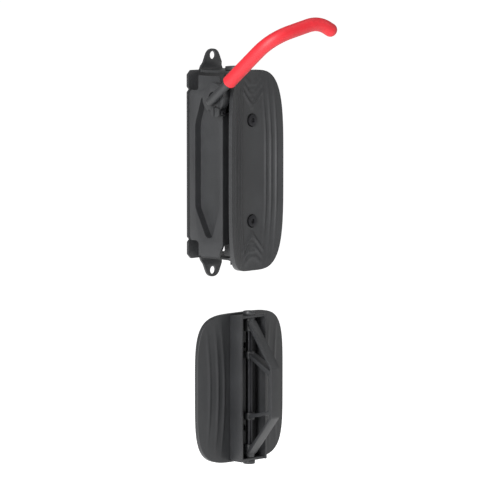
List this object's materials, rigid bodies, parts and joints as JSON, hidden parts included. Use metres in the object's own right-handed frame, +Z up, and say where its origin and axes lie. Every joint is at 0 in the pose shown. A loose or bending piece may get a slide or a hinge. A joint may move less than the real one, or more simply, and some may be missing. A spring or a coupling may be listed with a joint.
{
  "type": "swing-out wall bike hanger",
  "caption": "Swing-out wall hanger for a bicycle: wall plate, vertical pivot, tyre tray and folding hook with a red rubber sleeve, with a separate swivelling rear tyre rest.",
  "frame": {"origin": "middle of the wall plate's back face, on the wall plane", "axes": "+Z up, +X to the right as seen from in front, -Y out from the wall, +Y into the wall"},
  "size_m": [0.14, 0.1784, 0.515],
  "materials": {
    "painted_steel": "fine-texture black powder coat",
    "black_plastic": "matt moulded nylon",
    "black_zinc": "black oxide",
    "nylon": "natural nylon",
    "red_rubber": "soft matt rubber sleeve"
  },
  "bodies": {
    "wall_bracket": {"wall_plate": "painted_steel", "pivot_pin": "black_zinc", "pivot_cap": "black_plastic", "pivot_washer": "black_zinc", "pivot_nut": "black_zinc", "rear_strap": "painted_steel", "rear_brace": "painted_steel", "rear_pin": "black_zinc", "rear_pin_cap_top": "black_plastic", "rear_pin_cap_bottom": "black_plastic"},
    "swing_frame": {"side_plate": "painted_steel", "swing_channel": "painted_steel", "bush_top": "nylon", "bush_bottom": "nylon", "front_tray": "black_plastic", "tray_screw_upper": "black_zinc", "tray_nut_upper": "black_zinc", "tray_screw_lower": "black_zinc", "tray_nut_lower": "black_zinc", "hook_spacer": "black_zinc", "hook_bolt": "black_zinc", "hook_nut": "black_zinc"},
    "hook": {"hook_hub": "black_plastic", "pinch_screw": "black_zinc", "pinch_nut": "black_zinc", "hook_rod": "painted_steel", "hook_sleeve": "red_rubber"},
    "rear_swivel": {"rear_channel": "painted_steel", "rear_tray": "black_plastic", "rear_screw_upper": "black_zinc", "rear_screw_lower": "black_zinc"}
  },
  "joints": [
    {"name": "frame_swing", "type": "hinge", "parent": "wall_bracket", "child": "swing_frame", "pos_m": [0, -0.044, 0], "axis": [0, 0, 1], "range_deg": [0, 78]},
    {"name": "hook_fold", "type": "hinge", "parent": "swing_frame", "child": "hook", "pos_m": [-0.0426, -0.0525, 0.0791], "axis": [1, 0, 0], "range_deg": [0, 104]},
    {"name": "rear_swing", "type": "hinge", "parent": "wall_bracket", "child": "rear_swivel", "pos_m": [0, -0.0635, -0.2545], "axis": [0, 0, 1], "range_deg": [-38, 38]}
  ]
}
